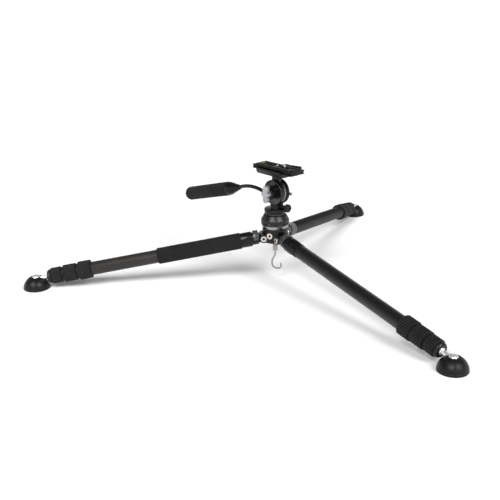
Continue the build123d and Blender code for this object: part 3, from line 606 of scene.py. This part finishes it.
dress(softened("levelling_ball", "levelling_ball_dome", 0.0003), anodised, "level")
base_low, base_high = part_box("pan_base")
base_radius = (base_high.x - base_low.x) / 2
SCALE_TICKS = 72
scale_finish = scaled_band(
    "pan_scale", (0.002, 0.002, 0.0022), (0.008, 0.008, 0.009), SCALE_TICKS, base_low.z + 0.0080, 0.0009
)
pivot_radius = 0.008
pan_rows = [
    (0, base_low.z),
    (base_radius, base_low.z),
    (base_radius, base_low.z + 0.0058),
    (base_radius - 0.0005, base_low.z + 0.0061),
    (base_radius - 0.0005, base_low.z + 0.0066),
    (base_radius, base_low.z + 0.0069),
    (base_radius, base_low.z + 0.0095),
    (base_radius - 0.0004, base_low.z + 0.0100),
    (pivot_radius, base_low.z + 0.0100),
    (pivot_radius, base_high.z),
    (0, base_high.z),
]
pan_base = lathe("pan_base_scale", pan_rows, upright("pan_base"), 128, 0.00015)
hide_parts("pan_base")
dress(pan_base, scale_finish, "level")

# ---------------------------------------------------------------- fluid head

tilt_at = Vector(joints["tilt"]["pos_m"])
tilt_frame = frame_at((0, tilt_at.y, tilt_at.z), (1, 0, 0), (0, 0, 1))
head_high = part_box("head_frame")[1]
dress(softened("head_frame", "head_yoke", 0.0007), casting, "head")
cheek_radius = head_high.z - tilt_at.z
near_face = min(v.co.x for v in nodes["head_frame"].data.vertices if v.co.z > tilt_at.z + cheek_radius * 0.8)
bezel = lathe(
    "near_cheek_bezel",
    [
        (0.0128, near_face + 0.0004),
        (0.0128, near_face - 0.0003),
        (0.0196, near_face - 0.0003),
        (0.0206, near_face - 0.0005),
        (cheek_radius - 0.0016, near_face - 0.0017),
        (cheek_radius - 0.0008, near_face - 0.0020),
        (cheek_radius - 0.0003, near_face - 0.0017),
        (cheek_radius - 0.0001, near_face - 0.0008),
        (cheek_radius - 0.0001, near_face + 0.0004),
    ],
    tilt_frame,
    128,
    0.0002,
)
dress(bezel, dish_grey, "head")

drum_finish = coated(
    "drum_black", (0.0014, 0.0014, 0.0016), (0.006, 0.006, 0.0065), (0.24, 0.38), 1500, 0.00003, 0.2
)
DRUM_RADIUS = 0.0243
across, dy, dz = drum_finish.axes((tilt_at.x, tilt_at.y, tilt_at.z))
squares = drum_finish.math(
    "ADD", drum_finish.math("MULTIPLY", dy, dy), drum_finish.math("MULTIPLY", dz, dz)
)
reach = drum_finish.math("SQRT", squares)
outer_edge = drum_finish.math("GREATER_THAN", reach, DRUM_RADIUS - 0.0006)
short_of_far_edge = drum_finish.math("LESS_THAN", across, 0.0037)
past_near_edge = drum_finish.math("GREATER_THAN", across, -0.0007)
rim = drum_finish.math("MULTIPLY", outer_edge, drum_finish.math("MULTIPLY", short_of_far_edge, past_near_edge))
rim = drum_finish.math("MULTIPLY", rim, drum_finish.math("LESS_THAN", dz, 0.0205))
drum_old = drum_finish.shader.inputs["Base Color"].links[0].from_socket
drum_finish.colour(drum_finish.mixed(rim, drum_old, (0.2, 0.2, 0.21)))
drum_finish.feed(drum_finish.shader.inputs["Metallic"], drum_finish.math("MULTIPLY", rim, 0.85))
dress(softened("tilt_drum", "tilt_drum_shell", 0.0005), drum_finish.material, "tilt")
dress(relathe("tilt_axle", "tilt_axle_pin", tilt_frame, 48, 0.0003), steel, "head")

knob_at = Vector(joints["pan_knob_turn"]["pos_m"])
knob_frame = frame_at((knob_at.x, 0, knob_at.z), (0, -1, 0), (0, 0, 1))
knob_low, knob_high = local_box("pan_lock_knob", knob_frame)
knob_radius = local_reach("pan_lock_knob", knob_frame)
knob_back = knob_high.z - 0.0075
knob_points = local_points("pan_lock_knob", knob_frame)
knob_collar = float(knob_points[np.hypot(knob_points[:, 0], knob_points[:, 1]) > 0.0035][:, 2].min())


def knurl(a):
    return knob_radius - 0.00045 * (0.5 + 0.5 * math.cos(a * 30)) ** 2


pan_knob = lathe(
    "pan_knob_knurled",
    [
        (0, knob_low.z),
        (0.0025, knob_low.z),
        (0.0025, knob_collar),
        (0.0042, knob_collar),
        (0.0042, knob_back),
        (knob_radius - 0.0012, knob_back),
        (knob_radius - 0.0005, knob_back + 0.0004),
        (knurl, knob_back + 0.0012),
        (knurl, knob_high.z - 0.0016),
        (knob_radius - 0.0006, knob_high.z - 0.0008),
        (knob_radius - 0.0014, knob_high.z),
        (knob_radius - 0.0024, knob_high.z),
        (knob_radius - 0.0028, knob_high.z - 0.0005),
        (0, knob_high.z - 0.0005),
    ],
    knob_frame,
    240,
)
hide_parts("pan_lock_knob")
dress(pan_knob, plastic, "pan_knob")

dress(softened("tilt_lock_lever", "tilt_lever_soft", 0.0009), lever_grey, "tilt_lever")
dress(softened("handle_wing_knob", "wing_knob_soft", 0.0014, segments=3), silver, "wing_knob")

# ---------------------------------------------------------------- pan handle

dress(softened("handle_rod", "handle_rod_smooth", 0.0004, smooth=40), casting, "handle")
grip_frame = long_axis("handle_grip")
grip = relathe("handle_grip", "handle_foam", grip_frame, 96, 0.0006)
dress(grip, grip_foam, "handle")

# ---------------------------------------------------------------- clamp and plate

dress(softened("clamp_body", "clamp_body_shell", 0.0006), casting, "tilt")
dress(softened("clamp_jaw", "clamp_jaw_shell", 0.0005), anodised, "jaw")
dress(softened("clamp_lever", "clamp_lever_soft", 0.0010), plastic, "lever")
dress(softened("quick_plate", "plate_shell", 0.0004), anodised, "plate")
dress(softened("plate_rubber_pads", "plate_pads", 0.0002), pad_rubber, "plate")
for number, points in enumerate(split_islands("anti_twist_pins")):
    cloud = np.array(points)
    middle = (cloud.max(0) + cloud.min(0)) / 2
    radius = (cloud.max(0)[0] - cloud.min(0)[0]) / 2
    foot_z, tip_z = cloud.min(0)[2], cloud.max(0)[2]
    rows = [(0, foot_z), (radius, foot_z), (radius, tip_z - 0.0007), (radius - 0.0006, tip_z), (0, tip_z)]
    pin = lathe(f"plate_pin_{number}", rows, Matrix.Translation((middle[0], middle[1], 0)), 48, 0.0001)
    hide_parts("anti_twist_pins")
    dress(pin, brass if middle[1] > 0.01 else steel, "plate")
dress(softened("plate_safety_screws", "plate_end_screws", 0.0003), steel, "plate")
dress(softened("camera_screw", "camera_screw_bright", 0.0002), steel, "screw")

# ---------------------------------------------------------------- legs

LOCK_RIBS = 26
RIB_DEPTH = 0.0014
LIP_DEPTH = 0.0038
lock_finish = rubber("lock_rubber", (0.008, 0.0077, 0.008), (0.028, 0.027, 0.028))
lx, ly, _ = lock_finish.axes()
rib_turn = lock_finish.math("DIVIDE", lock_finish.math("ARCTAN2", ly, lx), TURN)
rib_part = lock_finish.math("FRACT", lock_finish.math("MULTIPLY", rib_turn, LOCK_RIBS))
rib_groove_painted_shade = lock_finish.spread(
    lock_finish.math("ABSOLUTE", lock_finish.math("SUBTRACT", rib_part, 0.5)), 0.2, 0.38, 0.0, 1.0, True
)
lock_plain = lock_finish.shader.inputs["Base Color"].links[0].from_socket
# painted shade: the colour is darkened in the rib grooves, where shade falls
lock_finish.colour(lock_finish.mixed(rib_groove_painted_shade, lock_plain, (0.0008, 0.0008, 0.0008)))
lock_rubber = lock_finish.material

for leg in LEGS:
    at = leg_frame(leg)
    # the rear leg takes the painted-light copy of the carbon, the other legs the plain one
    tube_finish = tube_painted_lit_copy if leg == "rear_leg" else tube_black
    dress(softened(leg + "_hinge_casting", leg + "_hinge_shell", 0.0007, at), casting, leg)
    dress(softened(leg + "_angle_tab", leg + "_angle_tab_soft", 0.0006, at), grey, leg + "_tab")
    bodies = (leg, leg + "_section_2", leg + "_section_3", leg + "_section_4")
    names = ("upper_tube", "second_tube", "third_tube", "bottom_tube")
    for body, part in zip(bodies, names):
        tube = relathe(leg + "_" + part, leg + "_" + part + "_weave", at, 96, 0.0002)
        dress(tube, tube_finish, body)
    for k in range(3):
        node = f"{leg}_lock_{k + 1}"
        low, high = local_box(node, at)
        outer = local_reach(node, at)
        points = local_points(node, at)
        inner = float(np.hypot(points[:, 0], points[:, 1]).min())

        def ribbed(a, outer=outer):
            return outer - RIB_DEPTH * (0.5 + 0.5 * math.cos(a * LOCK_RIBS)) ** 2

        rim = max(inner + 0.0003, outer - LIP_DEPTH)
        rows = [
            (inner, low.z),
            (rim, low.z),
            (rim, low.z + 0.0009),
            (outer - 0.0010, low.z + 0.0013),
            (outer, low.z + 0.0024),
            (ribbed, low.z + 0.0040),
            (ribbed, high.z - 0.0032),
            (outer, high.z - 0.0022),
            (outer - 0.0010, high.z - 0.0013),
            (rim, high.z - 0.0009),
            (rim, high.z),
            (inner, high.z),
        ]
        lock = lathe(node + "_rubber", rows, at, 360, 0, True, 40)
        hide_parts(node)
        dress(lock, lock_rubber, f"{leg}_twist_{k + 1}")

    ball = Vector(joints[leg + "_foot_tilt"]["pos_m"])
    stem = softened(leg + "_foot_stem", leg + "_foot_stem_chrome", 0.0003, at)
    dress(stem, chrome, bodies[3])
    pad_frame = Matrix.Translation((ball.x, ball.y, 0))
    pad = softened(leg + "_foot_pad", leg + "_foot_pad_rubber", 0.0006, pad_frame)
    out = joints[leg + "_extend_1"]["axis"]
    toward = math.atan2(out[1], out[0])
    dome = fluted(leg + "_foot_dome", (0.004, 0.0039, 0.004), (0.014, 0.0135, 0.014), toward)
    dress(pad, dome, leg + "_foot")

grip_at = leg_frame("rear_leg")
leg_foam = relathe("rear_leg_foam_grip", "rear_leg_foam", grip_at, 128, 0.0005)
dress(leg_foam, grip_foam, "rear_leg")

# ---------------------------------------------------------------- stage, light and camera

floor_mesh = bpy.data.meshes.new("floor")
FLOOR_HALF = 40
corners = [(-FLOOR_HALF, -FLOOR_HALF, 0), (FLOOR_HALF, -FLOOR_HALF, 0)]
corners += [(FLOOR_HALF, FLOOR_HALF, 0), (-FLOOR_HALF, FLOOR_HALF, 0)]
floor_mesh.from_pydata(corners, [], [(0, 1, 2, 3)])
floor = bpy.data.objects.new("floor", floor_mesh)
bpy.context.scene.collection.objects.link(floor)
floor_finish = Finish("floor", Specular_IOR_Level=0.1)
floor_tone = floor_finish.spread(floor_finish.noise(3.0), 0.3, 0.7)
floor_finish.colour(floor_finish.mixed(floor_tone, (0.93, 0.93, 0.935), (0.95, 0.95, 0.95)))
floor_finish.roughness(floor_finish.spread(floor_finish.noise(40.0), 0.3, 0.7, 0.75, 0.85))
floor_mesh.materials.append(floor_finish.material)

world = bpy.data.worlds.new("studio")
world.use_nodes = True
world.node_tree.nodes["Background"].inputs["Color"].default_value = (1.0, 1.0, 1.0, 1.0)
world_nodes = world.node_tree.nodes
compass = world_nodes.new("ShaderNodeTexCoord")
split = world_nodes.new("ShaderNodeSeparateXYZ")
fade = world_nodes.new("ShaderNodeMapRange")
fade.interpolation_type = "SMOOTHSTEP"
for key, value in (("From Min", 0.18), ("From Max", 0.32), ("To Min", 1.0), ("To Max", 0.2)):
    fade.inputs[key].default_value = value
world.node_tree.links.new(compass.outputs["Generated"], split.inputs[0])
world.node_tree.links.new(split.outputs["Z"], fade.inputs["Value"])
world.node_tree.links.new(fade.outputs[0], world_nodes["Background"].inputs["Strength"])
bpy.context.scene.world = world


VIEW_TURN = math.radians(-41.7)
VIEW_DIP = math.radians(90 - 19.8)
VIEW_ROLL = math.radians(-0.90)
CAMERA_AT = (-1.11329, -1.16409, 0.64504)
FOCAL_LENGTH = 58.42
PANEL_STRENGTH = 2.2
PANEL_SPREAD = 30


def seen(x, y, z):
    """A point given as right, away and up from the camera's side of the hub."""
    return Matrix.Rotation(VIEW_TURN, 4, "Z") @ Vector((x, y, z))


def broad_light(name, toward, strength, spread):
    """Large, far studio panel, even over the whole floor. toward points from the tripod to it."""
    light = bpy.data.lights.new(name, "SUN")
    light.energy = strength
    light.angle = math.radians(spread)
    obj = bpy.data.objects.new(name, light)
    bpy.context.scene.collection.objects.link(obj)
    obj.rotation_mode = "QUATERNION"
    obj.rotation_quaternion = toward.to_track_quat("Z", "Y")


broad_light("right_front_panel", seen(0.776, -0.80, 1.0), PANEL_STRENGTH, PANEL_SPREAD)
broad_light("left_front_panel", seen(-0.53, -0.85, 1.0), PANEL_STRENGTH, PANEL_SPREAD)

camera_data = bpy.data.cameras.new("camera")
camera_data.lens = FOCAL_LENGTH
camera_data.sensor_width = 36
camera_data.shift_x = 0.0035
camera_data.clip_start = 0.05
camera_data.clip_end = 200
camera = bpy.data.objects.new("camera", camera_data)
bpy.context.scene.collection.objects.link(camera)
camera.matrix_world = (
    Matrix.Translation(CAMERA_AT)
    @ Matrix.Rotation(VIEW_TURN, 4, "Z")
    @ Matrix.Rotation(VIEW_DIP, 4, "X")
    @ Matrix.Rotation(VIEW_ROLL, 4, "Z")
)
bpy.context.scene.camera = camera
bpy.context.scene.view_settings.view_transform = "Standard"
bpy.context.scene.view_settings.look = "None"
